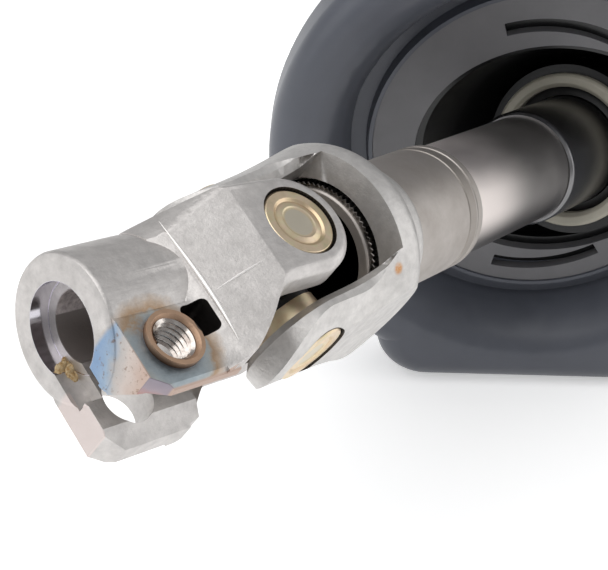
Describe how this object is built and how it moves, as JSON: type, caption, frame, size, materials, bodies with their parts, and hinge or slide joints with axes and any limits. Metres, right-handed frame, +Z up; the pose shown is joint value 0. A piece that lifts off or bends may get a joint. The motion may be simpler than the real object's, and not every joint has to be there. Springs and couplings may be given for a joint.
{
  "type": "intermediate steering shaft",
  "caption": "Steering shaft with two cross joints, clamp yokes, a splined slip section and a rubber bulkhead boot",
  "frame": {"origin": "middle of the bounding box, at floor level", "axes": "+X square to the boot, from the column end towards the gear end; +Z up as it lies on a floor"},
  "size_m": [0.3666, 0.2522, 0.1575],
  "materials": {
    "forged_steel": "satin forged steel",
    "bright_forged_steel": "bright forged steel",
    "zinc_yellow_steel": "yellow passivated zinc",
    "black_seal_rubber": "matte",
    "bearing_steel": "ground",
    "drawn_steel": "matte drawn",
    "polished_steel": "polished",
    "machined_steel": "machined",
    "weld_steel": "as welded",
    "white_nylon": "moulded",
    "blue_grey_rubber": "satin",
    "grey_plastic": "moulded",
    "black_rubber": "glossy",
    "beige_plastic": "moulded"
  },
  "bodies": {
    "column_end": {"column_yoke": "forged_steel", "column_cups": "zinc_yellow_steel", "column_cup_seals": "black_seal_rubber", "column_rollers": "bearing_steel"},
    "upper_cross": {"upper_cross": "bearing_steel"},
    "tube": {"tube_yoke": "bright_forged_steel", "tube_yoke_cups": "zinc_yellow_steel", "tube_yoke_seals": "black_seal_rubber", "tube_yoke_rollers": "bearing_steel", "steering_tube": "drawn_steel", "bush_sleeve": "polished_steel", "spline_lining": "white_nylon", "slip_wiper": "black_seal_rubber"},
    "boot": {"boot_rim": "blue_grey_rubber", "boot_plate": "grey_plastic", "boot_cone": "black_rubber", "boot_bush": "beige_plastic", "boot_seal": "black_seal_rubber"},
    "slip_end": {"slip_shaft": "machined_steel", "fork_weld": "weld_steel", "lower_fork": "bright_forged_steel", "lower_fork_cups": "zinc_yellow_steel", "lower_fork_seals": "black_seal_rubber", "lower_fork_rollers": "bearing_steel"},
    "lower_cross": {"lower_cross": "bearing_steel"},
    "gear_end": {"gear_yoke": "forged_steel", "gear_cups": "zinc_yellow_steel", "gear_cup_seals": "black_seal_rubber", "gear_rollers": "bearing_steel"}
  },
  "joints": [
    {"name": "upper_joint_tube_pins", "type": "hinge", "parent": "tube", "child": "upper_cross", "pos_m": [-0.13367, 0.08339, 0.12461], "axis": [0.5981, 0.6483, 0.4711], "range_deg": [-22.8, 33.2]},
    {"name": "upper_joint_column_pins", "type": "hinge", "parent": "upper_cross", "child": "column_end", "pos_m": [-0.13367, 0.08339, 0.12461], "axis": [-0.122, -0.5073, 0.8531], "range_deg": [-20.1, 35.9]},
    {"name": "boot_turn", "type": "hinge", "parent": "tube", "child": "boot", "pos_m": [-0.00169, -0.00232, 0.07499], "axis": [0.7999, -0.5194, -0.3007], "continuous": true},
    {"name": "shaft_slip", "type": "slide", "parent": "tube", "child": "slip_end", "axis": [0.7999, -0.5194, -0.3007], "range_m": [-0.02, 0.015]},
    {"name": "lower_joint_fork_pins", "type": "hinge", "parent": "slip_end", "child": "lower_cross", "pos_m": [0.13028, -0.08803, 0.02537], "axis": [0.5446, 0.8387, 0], "range_deg": [-23.7, 32.3]},
    {"name": "lower_joint_gear_pins", "type": "hinge", "parent": "lower_cross", "child": "gear_end", "pos_m": [0.13028, -0.08803, 0.02537], "axis": [0.1915, -0.1244, 0.9736], "range_deg": [-28, 28]}
  ]
}
